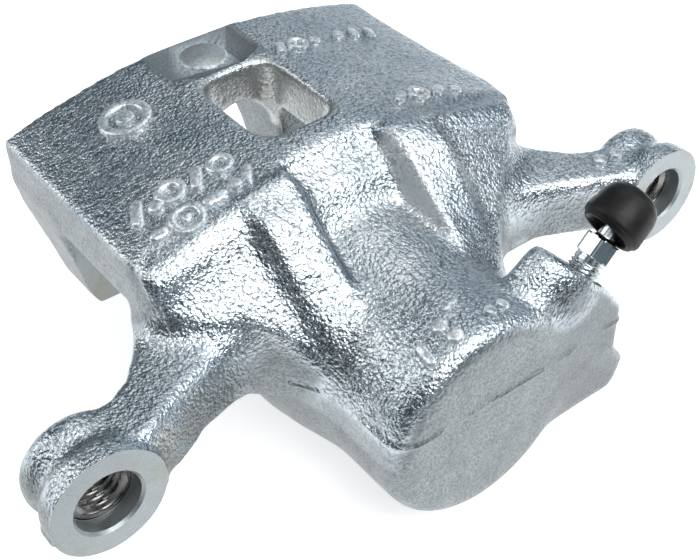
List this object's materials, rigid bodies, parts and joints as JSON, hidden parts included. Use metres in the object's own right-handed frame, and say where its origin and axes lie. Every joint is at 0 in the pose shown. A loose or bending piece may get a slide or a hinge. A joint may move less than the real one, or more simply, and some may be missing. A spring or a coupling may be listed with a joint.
{
  "type": "brake caliper",
  "caption": "Cast floating brake caliper with a hollow piston, ribbed bridge with a window, forked fingers, two arms with threaded ears, and a capped bleeder screw.",
  "frame": {"origin": "middle of the cylinder's flat closed end, on the piston axis", "axes": "+Y along the piston axis towards the fingers, +X from ear to ear, +Z away from the wheel axle"},
  "size_m": [0.1814, 0.1128, 0.0733],
  "materials": {
    "zinc_casting": "bright bluish zinc plate over a grainy as-cast surface",
    "piston_chrome": "polished",
    "seal_rubber": "satin",
    "boot_rubber": "matt",
    "ring_steel": "dull spring wire",
    "bleeder_steel": "bright zinc plate",
    "cap_rubber": "satin",
    "plug_plastic": "plain"
  },
  "bodies": {
    "body": {"caliper_housing": "zinc_casting", "piston_seal": "seal_rubber", "dust_boot": "boot_rubber", "boot_retaining_ring": "ring_steel"},
    "piston": {"piston": "piston_chrome"},
    "bleeder": {"bleeder_screw": "bleeder_steel"},
    "cap": {"bleeder_cap": "cap_rubber"},
    "port_plug": {"hose_port_plug": "plug_plastic"}
  },
  "joints": [
    {"name": "piston_slide", "type": "slide", "parent": "body", "child": "piston", "axis": [0, 1, 0], "range_m": [0, 0.022], "deforming": ["dust_boot"]},
    {"name": "bleeder_turn", "type": "hinge", "parent": "body", "child": "bleeder", "pos_m": [0.03132, 0.0063, 0.021], "axis": [0.7071, 0, 0.7071], "range_deg": [0, 360]},
    {"name": "cap_pull", "type": "slide", "parent": "bleeder", "child": "cap", "axis": [0.866, 0, 0.5], "range_m": [0, 0.02]},
    {"name": "plug_pull", "type": "slide", "parent": "body", "child": "port_plug", "axis": [0, 0, -1], "range_m": [0, 0.02]}
  ]
}
